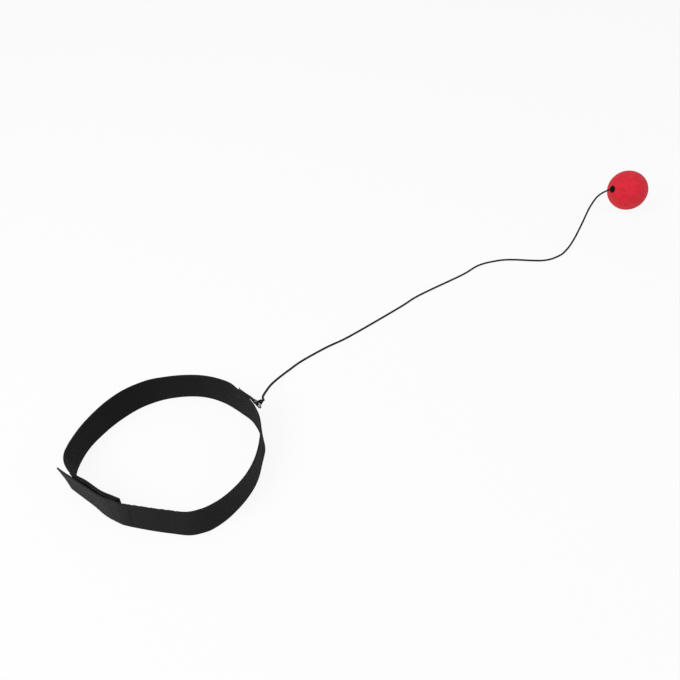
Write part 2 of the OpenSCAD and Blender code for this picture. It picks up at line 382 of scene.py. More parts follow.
def flap_scallop(along):
    fade = 1 - smooth_step(along / (FLAP_SPLICE + SCALLOP_FADE))
    return strap_scallop(along + STRAP.length - FLAP_SPLICE) * fade


def no_rise(along):
    return np.zeros_like(along)


def on_strip(line, along, across, height, lean):
    """Points beside a line in plan, at a distance out and a height, on a strip that leans and bows."""
    along, across, height = np.broadcast_arrays(*(np.asarray(v, float) for v in (along, across, height)))
    foot, top = lean(along)
    share = height / STRAP_W
    out = across + foot + (top - foot) * share - STRAP_BOW * np.sin(math.pi * share)
    plan = line.place(along) + line.side(along) * out[..., None]
    return np.concatenate([plan, height[..., None]], axis=-1)


# Meshes

def new_object(name, points, faces, material, weave=None):
    """Mesh object at the origin from points in millimetres, with weave places for the face corners."""
    mesh = bpy.data.meshes.new(name)
    mesh.from_pydata((np.asarray(points) * MM).tolist(), [], [list(face) for face in faces])
    if weave is not None:
        layer = mesh.uv_layers.new(name="weave")
        layer.data.foreach_set("uv", np.asarray(weave, np.float32).ravel())
    mesh.polygons.foreach_set("use_smooth", np.ones(len(mesh.polygons), bool))
    mesh.materials.append(material)
    made = bpy.data.objects.new(name, mesh)
    bpy.context.scene.collection.objects.link(made)
    return made


# Corners of a quad in the order that turns it over and keeps its first corner
TURNED = [0, 3, 2, 1]


def ring_quads(rings, size, joined=False):
    """Quads between neighbouring rings of points, and from the last ring to the first where joined."""
    ring, k = np.meshgrid(np.arange(rings if joined else rings - 1), np.arange(size), indexing="ij")
    after, next_ring = (k + 1) % size, (ring + 1) % rings
    return np.stack([ring * size + k, ring * size + after,
                     next_ring * size + after, next_ring * size + k], axis=-1).reshape(-1, 4)


def sheet_quads(rows, columns):
    """Quads of a sheet of points in rows."""
    row, k = np.meshgrid(np.arange(rows - 1), np.arange(columns - 1), indexing="ij")
    first = row * columns + k
    return np.stack([first, first + 1, first + columns + 1, first + columns], axis=-1).reshape(-1, 4)


def webbing_section(width, thickness, ribs, relief, edge=EDGE):
    """Outline of ribbed webbing as pairs of offset and height: up the outer face, down the inner one."""
    half = thickness / 2
    rounded = [(0.0, 0.36), (0.18, 0.72), (0.5, 0.94)]
    heights = [edge * z for z, _ in rounded]
    offsets = [half * share for _, share in rounded]
    pitch = (width - 2 * edge) / ribs
    for k in range(4 * ribs + 1):
        heights.append(edge + pitch * k / 4)
        offsets.append(half - relief * (1 - abs(math.sin(math.pi * k / 4))))
    heights += [width - edge * z for z, _ in reversed(rounded)]
    offsets += [half * share for _, share in reversed(rounded)]
    outer = np.array([offsets, heights]).T
    inner = outer[::-1] * [-1, 1]
    return np.vstack([outer, inner])


def strip(name, line, stops, section, material, centre=0.0, low=0.0, lean=no_lean, scallop=no_rise,
          lift=no_rise, dip=0.0, slant=0.0):
    """Upright strip that follows a line in plan, closed at both ends, the last one hollowed and slanted."""
    stops = np.asarray(stops, float)
    count, size = len(stops), len(section)
    height = np.broadcast_to(section[None, :, 1] + low, (count, size)).copy()
    share = (section[:, 1] - section[:, 1].min()) / np.ptp(section[:, 1])
    near_end = np.clip((stops - stops[-1] + CUT_RUN) / CUT_RUN, 0, 1)
    cut = slant * (share - CUT_PIVOT) - dip * np.sin(math.pi * share)
    along = stops[:, None] + near_end[:, None] * cut[None, :]
    across = section[None, :, 0] + centre
    height += scallop(stops)[:, None] * share[None, :] ** 4 + lift(stops)[:, None] * (1 - share[None, :])
    points = on_strip(line, along, across, height, lean).reshape(-1, 3)
    k = np.arange(size // 2 - 1)
    first = np.stack([k, size - 1 - k, size - 2 - k, k + 1], axis=-1)
    last = np.stack([k, k + 1, size - 2 - k, size - 1 - k], axis=-1) + (count - 1) * size
    faces = np.vstack([ring_quads(count, size), first, last])
    places = np.stack([along, np.broadcast_to(section[None, :, 1], along.shape)], axis=-1).reshape(-1, 2)
    return new_object(name, points, faces.tolist(), material, places[faces.ravel()] * MM)


def ring_frames(path, closed):
    """Two directions across a path at each of its points, carried along it without twist."""
    step = np.roll(path, -1, axis=0) - np.roll(path, 1, axis=0)
    if not closed:
        step[0], step[-1] = path[1] - path[0], path[-1] - path[-2]
    way = step / np.linalg.norm(step, axis=1, keepdims=True)
    start = UP if abs(way[0] @ UP) < 0.9 else np.array([1.0, 0.0, 0.0])
    first = [unit(start - way[0] * (start @ way[0]))]
    for here in way[1:]:
        first.append(unit(first[-1] - here * (first[-1] @ here)))
    first = np.array(first)
    return first, np.cross(way, first)


def tube(name, path, radius, sides, material, closed=False, relief=None):
    """Round tube along a path, with flat ends where it is open. Relief is a share of the radius."""
    path = np.asarray(path, float)
    line = Line(np.vstack([path, path[:1]]) if closed else path)
    along = line.at[:len(path)]
    one, two = ring_frames(path, closed)
    turn = 2 * math.pi * np.arange(sides) / sides
    spread = one[:, None, :] * np.cos(turn)[None, :, None] + two[:, None, :] * np.sin(turn)[None, :, None]
    swell = np.ones((len(path), sides))
    if relief is not None:
        swell = 1 + relief(along[:, None], turn[None, :])
    points = (path[:, None, :] + spread * (radius * swell)[..., None]).reshape(-1, 3)
    ring, k = np.meshgrid(np.arange(len(line.at) - 1), np.arange(sides), indexing="ij")
    runs = line.at[np.stack([ring + 1, ring + 1, ring, ring], axis=-1)] * MM
    turns = np.stack([k, k + 1, k + 1, k], axis=-1) / sides
    weave = np.stack([runs, turns], axis=-1).reshape(-1, 2)
    faces = ring_quads(len(path), sides, closed)[:, ::-1].tolist()
    if not closed:
        base = (len(path) - 1) * sides
        faces += [list(range(sides)), list(range(base + sides - 1, base - 1, -1))]
        weave = np.vstack([weave, np.zeros((2 * sides, 2))])
    return new_object(name, points, faces, material, weave)


def lathe(name, profile, segments, material, grain=None):
    """Closed profile of radius and height turned about the axis of the ball's hole."""
    profile = np.asarray(profile, float)
    across, third = ball_axes()
    turn = 2 * math.pi * np.arange(segments) / segments
    around = np.cos(turn)[:, None] * across + np.sin(turn)[:, None] * third
    points = around[:, None, :] * profile[None, :, :1] + BALL_WAY * profile[None, :, 1:]
    points = points.reshape(-1, 3)
    if grain is not None:
        points = np.array([grain(point) for point in points])
    faces = ring_quads(segments, len(profile), joined=True)[:, TURNED]
    return new_object(name, points + BALL_AT, faces.tolist(), material)


def outline(*corners, bend=0.5, steps=4):
    """Closed outline through corners that are rounded off."""
    corners = np.array(corners, float)
    points = []
    for before, here, after in zip(np.roll(corners, 1, axis=0), corners, np.roll(corners, -1, axis=0)):
        reach = min(bend, np.linalg.norm(before - here) / 2.01, np.linalg.norm(after - here) / 2.01)
        start, end = here + unit(before - here) * reach, here + unit(after - here) * reach
        for t in np.linspace(0, 1, steps + 1):
            points.append((1 - t) ** 2 * start + 2 * t * (1 - t) * here + t * t * end)
    return np.array(points)


# Finishes

class Finish:
    """Material with short calls for its nodes."""

    def __init__(self, name, **constants):
        self.material = bpy.data.materials.new(name)
        self.material.use_nodes = True
        self.tree = self.material.node_tree
        self.shader = self.tree.nodes["Principled BSDF"]
        for socket, value in constants.items():
            self.shader.inputs[socket.replace("_", " ")].default_value = value

    def node(self, kind, **settings):
        made = self.tree.nodes.new(kind)
        for key, value in settings.items():
            setattr(made, key, value)
        return made

    def feed(self, socket, value):
        if isinstance(value, bpy.types.NodeSocket):
            self.tree.links.new(value, socket)
        else:
            socket.default_value = value

    def math(self, operation, first, second=0.0, third=0.0):
        made = self.node("ShaderNodeMath", operation=operation)
        for socket, value in zip(made.inputs, (first, second, third)):
            self.feed(socket, value)
        return made.outputs[0]

    def weave(self, along=1.0, up=1.0):
        """Places on the piece's own weave, scaled along and across it."""
        made = self.node("ShaderNodeUVMap", uv_map="weave")
        moved = self.node("ShaderNodeMapping")
        self.feed(moved.inputs["Vector"], made.outputs["UV"])
        moved.inputs["Scale"].default_value = (along, up, 1)
        return moved.outputs["Vector"]

    def solid(self):
        return self.node("ShaderNodeTexCoord").outputs["Object"]

    def split(self, vector):
        made = self.node("ShaderNodeSeparateXYZ")
        self.feed(made.inputs[0], vector)
        return made.outputs[0], made.outputs[1]

    def noise(self, place, scale, detail=2.0):
        made = self.node("ShaderNodeTexNoise")
        self.feed(made.inputs["Vector"], place)
        made.inputs["Scale"].default_value = scale
        made.inputs["Detail"].default_value = detail
        return made.outputs["Fac"]

    def cells(self, place, scale):
        made = self.node("ShaderNodeTexVoronoi")
        self.feed(made.inputs["Vector"], place)
        made.inputs["Scale"].default_value = scale
        return made.outputs["Distance"]

    def between(self, factor, low, high, from_low=0.0, from_high=1.0):
        made = self.node("ShaderNodeMapRange")
        for socket, value in zip(made.inputs, (factor, from_low, from_high, low, high)):
            self.feed(socket, value)
        return made.outputs[0]

    def tint(self, factor, dark, light):
        made = self.node("ShaderNodeMix", data_type="RGBA")
        self.feed(made.inputs[0], factor)
        self.feed(made.inputs[6], (*dark, 1))
        self.feed(made.inputs[7], (*light, 1))
        self.feed(self.shader.inputs["Base Color"], made.outputs[2])

    def rough(self, factor, low, high):
        self.feed(self.shader.inputs["Roughness"], self.between(factor, low, high))

    def bump(self, height, depth, strength=1.0):
        made = self.node("ShaderNodeBump")
        made.inputs["Strength"].default_value = strength
        made.inputs["Distance"].default_value = depth
        self.feed(made.inputs["Height"], height)
        self.feed(self.shader.inputs["Normal"], made.outputs["Normal"])


def webbing_finish(name, dark, light, rib, pick, streaks, sheen, painted_light_from=None):
    """Woven elastic: ribs along it, weft picks that step from rib to rib, streaks and fine yarn."""
    finish = Finish(name, Sheen_Weight=sheen, Sheen_Roughness=0.45, Specular_IOR_Level=0.12)
    along, up = finish.split(finish.weave())
    up = finish.math("SUBTRACT", up, EDGE * MM)
    rib_turn = finish.math("DIVIDE", up, rib * MM)
    ribs = finish.math("ABSOLUTE", finish.math("SINE", finish.math("MULTIPLY", rib_turn, math.pi)))
    row = finish.math("MULTIPLY", finish.math("FLOOR", rib_turn), math.pi)
    turn = finish.math("MULTIPLY_ADD", along, 2 * math.pi / (pick * MM), row)
    picks = finish.math("MULTIPLY_ADD", finish.math("SINE", turn), 0.5, 0.5)
    yarn = finish.noise(finish.weave(0.4, 1.0), 2600, 3)
    streak = finish.noise(finish.weave(0.03, 1.0), 900, 2)
    faded = finish.noise(finish.weave(), 38, 2)
    # Painted highlight: the ribs' crests where the picks cross are tinted lighter
    painted_crest_highlight = finish.math("MULTIPLY", ribs, picks)
    shade = finish.math("MULTIPLY_ADD", painted_crest_highlight, 0.45, finish.math("MULTIPLY", yarn, 0.35))
    shade = finish.math("MULTIPLY_ADD", finish.math("SUBTRACT", streak, 0.5), streaks, shade)
    shade = finish.math("MULTIPLY_ADD", finish.math("SUBTRACT", faded, 0.5), 0.5, shade)
    shade = finish.math("MINIMUM", finish.math("MAXIMUM", shade, 0.0), 1.0)
    # Painted light: past its start the flap's tint is lifted to stand in for the light on its face
    if painted_light_from is not None:
        painted_light = finish.between(along, 0, 1, painted_light_from * MM, (painted_light_from + PAINTED_LIGHT_OVER) * MM)
        scale = finish.math("MULTIPLY_ADD", painted_light, 1 - UNLIT_SHARE - PAINTED_LIGHT_LIFT, UNLIT_SHARE)
        shade = finish.math("MULTIPLY_ADD", shade, scale, finish.math("MULTIPLY", painted_light, PAINTED_LIGHT_LIFT))
    finish.tint(shade, dark, light)
    finish.rough(yarn, 0.66, 0.92)
    height = finish.math("MULTIPLY_ADD", picks, 0.5, ribs)
    finish.bump(finish.math("MULTIPLY_ADD", yarn, 0.5, height), 0.00022, 0.8)
    return finish.material


def yarn_finish(name, dark, light, scale, sheen):
    """Fine yarn: loops, hooks, edge turns and sewing thread."""
    finish = Finish(name, Sheen_Weight=sheen, Sheen_Roughness=0.4, Specular_IOR_Level=0.35)
    fibre = finish.noise(finish.solid(), scale, 3)
    finish.tint(finish.between(fibre, 0, 1, 0.3, 0.7), dark, light)
    finish.rough(fibre, 0.5, 0.85)
    finish.bump(fibre, 0.00008, 0.8)
    return finish.material


def cord_finish():
    """Braided sheath of the elastic cord."""
    finish = Finish("braided_cord", Sheen_Weight=0.03, Sheen_Roughness=0.4, Specular_IOR_Level=0.15)
    along, around = finish.split(finish.weave())
    lay = finish.math("MULTIPLY", along, 2 * math.pi / (BRAID_PITCH * MM))
    turn = finish.math("MULTIPLY", around, 2 * math.pi * BRAID_STRANDS)
    one = finish.math("SINE", finish.math("ADD", turn, lay))
    two = finish.math("SINE", finish.math("SUBTRACT", turn, lay))
    strands = finish.math("MULTIPLY_ADD", finish.math("MULTIPLY", one, two), 0.5, 0.5)
    fibre = finish.noise(finish.solid(), 5200, 3)
    shade = finish.math("MULTIPLY_ADD", strands, 0.5, finish.math("MULTIPLY", fibre, 0.5))
    finish.tint(shade, (0.004, 0.004, 0.0043), (0.012, 0.012, 0.0126))
    finish.rough(fibre, 0.65, 0.9)
    finish.bump(finish.math("MULTIPLY_ADD", fibre, 0.35, strands), 0.0001, 0.6)
    return finish.material


def foam_finish():
    """Matt red foam with a fine skin of open pores, painted shade in the pores and an uneven tint."""
    finish = Finish("red_foam", Sheen_Weight=0.12, Sheen_Roughness=0.55, Specular_IOR_Level=0.22)
    finish.shader.inputs["Sheen Tint"].default_value = (1.0, 0.72, 0.74, 1)
    place = finish.solid()
    clouds = finish.noise(place, 90, 3)
    speckle = finish.noise(place, 900, 2)
    pores = finish.between(finish.cells(place, 900), 0, 1, 0.08, 0.42)
    shade = finish.math("MULTIPLY_ADD", clouds, 0.55, finish.math("MULTIPLY", speckle, 0.45))
    # The tint is darker in the pores: painted shade in their hollows
    shade = finish.math("MULTIPLY", finish.between(shade, 0, 1, 0.32, 0.68),
                        finish.between(pores, 0.72, 1))
    finish.tint(shade, (0.66, 0.0095, 0.0245), (0.90, 0.024, 0.049))
    finish.rough(speckle, 0.62, 0.86)
    finish.bump(finish.math("MULTIPLY_ADD", speckle, 0.8, pores), 0.00012, 0.7)
    return finish.material


def steel_finish():
    """Satin nickel plate with fine drawn lines and a little tarnish."""
    finish = Finish("satin_steel", Metallic=1.0)
    lines = finish.noise(finish.weave(0.06, 0.02), 4200, 3)
    tarnish = finish.noise(finish.solid(), 420, 3)
    shade = finish.math("MULTIPLY_ADD", lines, 0.35, finish.math("MULTIPLY", tarnish, 0.65))
    finish.tint(finish.between(shade, 0, 1, 0.3, 0.7), (0.13, 0.128, 0.126), (0.34, 0.34, 0.345))
    finish.rough(shade, 0.2, 0.44)
    finish.bump(lines, 0.00003, 0.5)
    return finish.material


def moulded_finish(name, dark, light, low, high):
    """Moulded rubber or plastic with a fine matt skin."""
    finish = Finish(name, Specular_IOR_Level=0.08)
    skin = finish.noise(finish.solid(), 3200, 2)
    scuffs = finish.noise(finish.solid(), 520, 3)
    shade = finish.math("MULTIPLY_ADD", skin, 0.4, finish.math("MULTIPLY", scuffs, 0.6))
    finish.tint(finish.between(shade, 0, 1, 0.3, 0.7), dark, light)
    finish.rough(scuffs, low, high)
    finish.bump(skin, 0.00004, 0.6)
    return finish.material


WEBBING = webbing_finish("black_elastic", (0.0037, 0.0037, 0.0039), (0.0132, 0.0132, 0.0138),
                         rib=RIB, pick=PICK, streaks=0.25, sheen=0.03)
# Painted light: the flap is the strap's own webbing, with a lighter tint for the light its face catches
FLAP_WEBBING = webbing_finish("closure_elastic", (0.0037, 0.0037, 0.0039), (0.040, 0.040, 0.0414),
                              rib=RIB, pick=PICK, streaks=0.5, sheen=0.03, painted_light_from=PAINTED_LIGHT_FROM)
TAPE = webbing_finish("tape_ground", (0.008, 0.008, 0.009), (0.022, 0.022, 0.023),
                      rib=0.8, pick=0.9, streaks=0.2, sheen=0.08)
RIBBON = webbing_finish("ring_ribbon", (0.010, 0.010, 0.0105), (0.026, 0.026, 0.027),
                        rib=0.7, pick=0.8, streaks=0.2, sheen=0.12)
PILE = yarn_finish("loop_pile", (0.008, 0.008, 0.009), (0.030, 0.030, 0.032), scale=2600, sheen=0.2)
HOOKS = yarn_finish("hook_nylon", (0.010, 0.010, 0.011), (0.024, 0.024, 0.025), scale=1500, sheen=0.0)
THREAD = yarn_finish("sewing_thread", (0.016, 0.016, 0.017), (0.050, 0.050, 0.052), scale=4200, sheen=0.15)
EDGE_YARN = yarn_finish("edge_yarn", (0.010, 0.010, 0.0105), (0.034, 0.034, 0.035), scale=3000, sheen=0.12)
CORD = cord_finish()
FOAM = foam_finish()
STEEL = steel_finish()
RUBBER = moulded_finish("black_rubber", (0.001, 0.001, 0.0011), (0.004, 0.004, 0.0042), low=0.5, high=0.72)
NYLON = moulded_finish("grey_nylon", (0.17, 0.17, 0.18), (0.26, 0.26, 0.27), low=0.4, high=0.6)


# Geometry Nodes

YARN_STEPS = 6


class Tree:
    """Geometry Nodes tree with named sizes and short calls for its nodes."""

    def __init__(self, name, **sizes):
        self.tree = bpy.data.node_groups.new(name, "GeometryNodeTree")
        self.tree.interface.new_socket("Geometry", in_out="INPUT", socket_type="NodeSocketGeometry")
        self.tree.interface.new_socket("Geometry", in_out="OUTPUT", socket_type="NodeSocketGeometry")
        self.keys = {}
        for size, kind in sizes.items():
            made = self.tree.interface.new_socket(size, in_out="INPUT", socket_type="NodeSocket" + kind)
            self.keys[size] = made.identifier
        self.entry = self.tree.nodes.new("NodeGroupInput")
        self.result = self.tree.nodes.new("NodeGroupOutput")

    def size(self, name):
        return self.entry.outputs[name]

    def node(self, kind, inputs=None, **settings):
        made = self.tree.nodes.new(kind)
        for key, value in settings.items():
            setattr(made, key, value)
        for key, value in (inputs or {}).items():
            if isinstance(value, bpy.types.NodeSocket):
                self.tree.links.new(value, made.inputs[key])
            else:
                made.inputs[key].default_value = value
        return made

    def math(self, operation, first, second):
        return self.node("ShaderNodeMath", {0: first, 1: second}, operation=operation).outputs[0]

    def vector(self, x, y, z):
        return self.node("ShaderNodeCombineXYZ", {0: x, 1: y, 2: z}).outputs[0]

    def carried(self, name):
        made = self.node("GeometryNodeInputNamedAttribute", {"Name": name}, data_type="FLOAT_VECTOR")
        return made.outputs["Attribute"]

    def varied(self, low, high, shift=0):
        seed = self.math("ADD", self.size("Seed"), shift)
        return self.node("FunctionNodeRandomValue", {2: low, 3: high, 8: seed}, data_type="FLOAT").outputs[1]

    def yarn(self, start, middle, end, sides):
        """Short bent length of yarn with closed ends."""
        bent = self.node("GeometryNodeCurveQuadraticBezier",
                         {"Resolution": YARN_STEPS, "Start": start, "Middle": middle, "End": end})
        radius = self.math("MULTIPLY", self.size("Thickness"), 0.5)
        round_section = self.node("GeometryNodeCurvePrimitiveCircle",
                                  {"Resolution": sides, "Radius": radius})
        return self.node("GeometryNodeCurveToMesh",
                         {"Curve": bent.outputs[0], "Profile Curve": round_section.outputs[0],
                          "Fill Caps": True}).outputs[0]

    def finish(self, instances):
        real = self.node("GeometryNodeRealizeInstances", {0: instances})
        smooth = self.node("GeometryNodeSetShadeSmooth", {0: real.outputs[0]})
        painted = self.node("GeometryNodeSetMaterial",
                            {0: smooth.outputs[0], "Material": self.size("Material")})
        self.tree.links.new(painted.outputs[0], self.result.inputs[0])


def placed_yarn_tree(name, curve_points, sides, spin):
    """Yarn at each point of the base, turned by the base's own directions along and out of the face."""
    tree = Tree(name, Length="Float", Height="Float", Thickness="Float", Seed="Int", Material="Material")
    half = tree.math("MULTIPLY", tree.size("Length"), 0.5)
    corners = [tree.vector(*(tree.math("MULTIPLY", size, share) for size, share in
                             ((half, x), (tree.size("Length"), y), (tree.size("Height"), z))))
               for x, y, z in curve_points]
    shape = tree.yarn(*corners, sides)
    turned = tree.node("FunctionNodeAxesToRotation",
                       {"Primary Axis": tree.carried("out"), "Secondary Axis": tree.carried("way")},
                       primary_axis="Z", secondary_axis="X")
    tilt = tree.node("FunctionNodeAxisAngleToRotation", {"Angle": tree.varied(-spin, spin)})
    both = tree.node("FunctionNodeRotateRotation",
                     {0: turned.outputs[0], 1: tilt.outputs[0]}, rotation_space="LOCAL")
    size = tree.varied(0.9, 1.1, 1)
    grown = tree.node("GeometryNodeInstanceOnPoints",
                      {"Points": tree.entry.outputs["Geometry"], "Instance": shape,
                       "Rotation": both.outputs[0], "Scale": size})
    tree.finish(grown.outputs[0])
    return tree


def pile_tree():
    """Small loops strewn over a face, each turned its own way."""
    tree = Tree("loop_pile", Density="Float", Length="Float", Height="Float", Thickness="Float",
                Seed="Int", Material="Material")
    half = tree.math("MULTIPLY", tree.size("Length"), 0.5)
    back = tree.math("MULTIPLY", half, -1.0)
    top = tree.math("MULTIPLY", tree.size("Height"), 2.0)
    corners = [tree.vector(x, 0.0, z) for x, z in ((back, 0.0), (0.0, top), (half, 0.0))]
    shape = tree.yarn(*corners, sides=4)
    strewn = tree.node("GeometryNodeDistributePointsOnFaces",
                       {"Mesh": tree.entry.outputs["Geometry"], "Density": tree.size("Density"),
                        "Seed": tree.size("Seed")}, distribute_method="RANDOM")
    spin = tree.node("FunctionNodeAxisAngleToRotation", {"Angle": tree.varied(0.0, 2 * math.pi, 1)})
    turned = tree.node("FunctionNodeRotateRotation",
                       {0: strewn.outputs["Rotation"], 1: spin.outputs[0]}, rotation_space="LOCAL")
    grown = tree.node("GeometryNodeInstanceOnPoints",
                      {"Points": strewn.outputs["Points"], "Instance": shape,
                       "Rotation": turned.outputs[0], "Scale": tree.varied(0.75, 1.15, 2)})
    tree.finish(grown.outputs[0])
    return tree


STITCH_TREE = placed_yarn_tree("stitch", ((-1, 0, -0.6), (0, 0, 1.6), (1, 0, -0.6)), sides=6, spin=0.06)
HOOK_TREE = placed_yarn_tree("hook", ((-1, 0, 0), (0.3, 0, 2.0), (1, 0, 0.35)), sides=4, spin=0.25)
EDGE_TREE = placed_yarn_tree("edge_turn", ((-1, 0.12, -1.0), (0, 0, 1.3), (1, -0.12, -1.0)),
                             sides=4, spin=0.12)
PILE_TREE = pile_tree()


def grown(name, base, tree, material, **sizes):
    """Plain mesh object that a tree makes on a base mesh, with sizes in millimetres."""
    carrier = bpy.data.objects.new(name + "_base", base)
    bpy.context.scene.collection.objects.link(carrier)
    modifier = carrier.modifiers.new("grow", "NODES")
    modifier.node_group = tree.tree
    for size, value in sizes.items():
        modifier[tree.keys[size]] = value
    modifier[tree.keys["Material"]] = material
    ready = carrier.evaluated_get(bpy.context.evaluated_depsgraph_get())
    mesh = bpy.data.meshes.new_from_object(ready)
    bpy.data.objects.remove(carrier)
    bpy.data.meshes.remove(base)
    mesh.name = name
    made = bpy.data.objects.new(name, mesh)
    bpy.context.scene.collection.objects.link(made)
    return made


def base_points(spots):
    """Base mesh of loose points, from rows of place, direction along and direction out."""
    places, ways, outs = (np.array(column, float) for column in zip(*spots))
    mesh = bpy.data.meshes.new("base_points")
    mesh.from_pydata((places * MM).tolist(), [], [])
    for name, vectors in (("way", ways), ("out", outs)):
        layer = mesh.attributes.new(name, "FLOAT_VECTOR", "POINT")
        layer.data.foreach_set("vector", vectors.astype(np.float32).ravel())
    return mesh


def face_spot(line, along, across, height, lean, upright=False, facing=1):
    """Place on a face beside a line, with the directions along the row and out of the face."""
    place = on_strip(line, along, across, height, lean)
    way = UP if upright else np.append(line.way(along), 0.0)
    return place, way, np.append(line.side(along), 0.0) * facing


def seam_upright(line, along, across, low, high, lean, facing):
    count = int((high - low) / STITCH_PITCH)
    middle = (low + high) / 2
    return [face_spot(line, along, across, middle + (k - count / 2) * STITCH_PITCH, lean, True, facing)
            for k in range(count + 1)]


def seam_box(line, start, end, across, low, high, lean, facing):
    """Stitches all round a rectangle on a face."""
    count = int((end - start - STITCH_PITCH) / STITCH_PITCH)
    middle = (start + end) / 2
    spots = [face_spot(line, middle + (k - count / 2) * STITCH_PITCH, across, height, lean, False, facing)
             for k in range(count + 1) for height in (low, high)]
    low, high = low + STITCH_PITCH / 2, high - STITCH_PITCH / 2
    for along in (start, end):
        spots += seam_upright(line, along, across, low, high, lean, facing)
    return spots


def stitches(name, spots, seed):
    return grown(name, base_points(spots), STITCH_TREE, THREAD,
                 Length=STITCH_L * MM, Height=THREAD_D * MM, Thickness=THREAD_D * MM, Seed=seed)


def edge_turns(name, line, start, end, lean, scallop, seed):
    """Turns of weft yarn over the top and bottom edges of webbing."""
    spots = []
    for along in np.arange(start, end, TURN_PITCH):
        top = STRAP_W + float(scallop(np.array([along]))[0])
        for height, facing in ((top, 1), (0.0, -1)):
            place = on_strip(line, along, 0.0, height - facing * TURN_SINK, lean)
            spots.append((place, np.append(line.side(along), 0.0), UP * facing))
    return grown(name, base_points(spots), EDGE_TREE, EDGE_YARN,
                 Length=TURN_REACH * MM, Height=TURN_RISE * MM, Thickness=TURN_D * MM, Seed=seed)


# Pieces of the headband

def make_strap():
    section = webbing_section(STRAP_W, STRAP_T, RIBS, RIB_RELIEF)
    end = STRAP.length - FLAP_SPLICE
    stops = np.concatenate([np.linspace(0, SCALLOP_FROM, 200)[:-1], np.linspace(SCALLOP_FROM, end, 46)])
    band = strip("strap_webbing", STRAP, stops, section, WEBBING, lean=strap_lean, scallop=strap_scallop)
    turns = edge_turns("strap_edge_turns", STRAP, 1.0, end, strap_lean, strap_scallop, 3)
    return band, turns


def make_flap():
    section = webbing_section(STRAP_W, STRAP_T, RIBS, RIB_RELIEF)
    stops = np.linspace(0, FLAP.length, 72)
    band = strip("flap_webbing", FLAP, stops, section, FLAP_WEBBING,
                 lean=flap_lean, scallop=flap_scallop, dip=FLAP_DIP, slant=FLAP_SLANT)
    turns = edge_turns("flap_edge_turns", FLAP, 0.6, FLAP.length - FLAP_HEM, flap_lean, flap_scallop, 5)
    return band, turns


def tape_section():
    return webbing_section(TAPE_HIGH - TAPE_LOW, TAPE_BASE, ribs=36, relief=0.03, edge=0.4)


def make_loop_tape():
    stops = np.linspace(LOOP_TAPE_AT, LOOP_TAPE_AT + LOOP_TAPE_L, TAPE_STOPS)
    centre = STRAP_T / 2 + TAPE_BASE / 2
    ground = strip("loop_tape_ground", STRAP, stops, tape_section(), TAPE, centre, TAPE_LOW, strap_lean)
    heights = np.linspace(TAPE_LOW + PILE_SIDE, TAPE_HIGH - PILE_SIDE, PILE_ROWS)
    along = np.linspace(stops[0] + PILE_END, stops[-1] - PILE_END, TAPE_STOPS)
    across = STRAP_T / 2 + TAPE_BASE - PILE_SINK
    face = on_strip(STRAP, along[:, None], across, heights[None, :], strap_lean)
    quads = sheet_quads(TAPE_STOPS, PILE_ROWS)
    base = bpy.data.meshes.new("pile_face")
    base.from_pydata((face.reshape(-1, 3) * MM).tolist(), [], quads.tolist())
    pile = grown("loop_tape_pile", base, PILE_TREE, PILE, Density=PILE_DENSITY, Length=PILE_L * MM,
                 Height=PILE_H * MM, Thickness=PILE_D * MM, Seed=7)
    spots = seam_box(STRAP, stops[0] + SEAM_INSET, stops[-1] - SEAM_INSET, -STRAP_T / 2,
                     TAPE_LOW + SEAM_INSET, TAPE_HIGH - SEAM_INSET, strap_lean, -1)
    return ground, pile, stitches("loop_tape_thread", spots, 11)


def make_hook_tape():
    start = FLAP_SPLICE + HOOK_TAPE_AT
    stops = np.linspace(start, start + HOOK_TAPE_L, TAPE_STOPS)
    centre = -STRAP_T / 2 - TAPE_BASE / 2
    ground = strip("hook_tape_ground", FLAP, stops, tape_section(), TAPE, centre, TAPE_LOW, flap_lean)
    across = -STRAP_T / 2 - TAPE_BASE + HOOK_SINK
    columns = np.arange(stops[0] + HOOK_FIRST, stops[-1] - HOOK_LAST, HOOK_PITCH)
    rows = np.arange(TAPE_LOW + HOOK_FIRST, TAPE_HIGH - HOOK_LAST, HOOK_PITCH)
    spots = [face_spot(FLAP, along, across, height, flap_lean, bool((i + k) % 2), -1)
             for i, along in enumerate(columns) for k, height in enumerate(rows)]
    hooks = grown("hook_tape_hooks", base_points(spots), HOOK_TREE, HOOKS,
                  Length=HOOK_L * MM, Height=HOOK_H * MM, Thickness=HOOK_D * MM, Seed=13)
    spots = seam_box(FLAP, stops[0] + SEAM_INSET, stops[-1] - SEAM_INSET, STRAP_T / 2,
                     TAPE_LOW + SEAM_INSET, TAPE_HIGH - SEAM_INSET, flap_lean, 1)
    return ground, hooks, stitches("hook_tape_thread", spots, 17)


def ribbon_line():
    """Line of the ribbon in plan: along the strap, round the ring's bar and back."""
    under = RIBBON_RUN.stretch(0, RIBBON_L)
    at = np.linspace(0, RIBBON_L, len(under))
    side = RIBBON_RUN.side(at)
    way, out = RIBBON_RUN.way(RIBBON_L), RIBBON_RUN.side(RIBBON_L)
    fold_r = RING_WIRE / 2 + SLACK + RIBBON_T / 2
    fold = [RING_BAR[:2] + (way * math.sin(turn) - out * math.cos(turn)) * fold_r
            for turn in np.linspace(-FOLD_PAST, math.pi + FOLD_PAST, 16)]
    bow = RIBBON_BOW * np.sin(math.pi * np.clip((at - RIBBON_SEWN) / (RIBBON_L - RIBBON_SEWN), 0, 1))
    flare = RIBBON_FLARE * np.clip(1 - at / FLARE_RUN, 0, 1) ** 2
    going = under + side * (RIBBON_IN + bow)[:, None]
    coming = (under + side * (RIBBON_OUT + bow + flare)[:, None])[::-1]
    return line_through(np.vstack([going[:-2:3], fold, coming[2:-2:3], coming[-1:]]), 6)


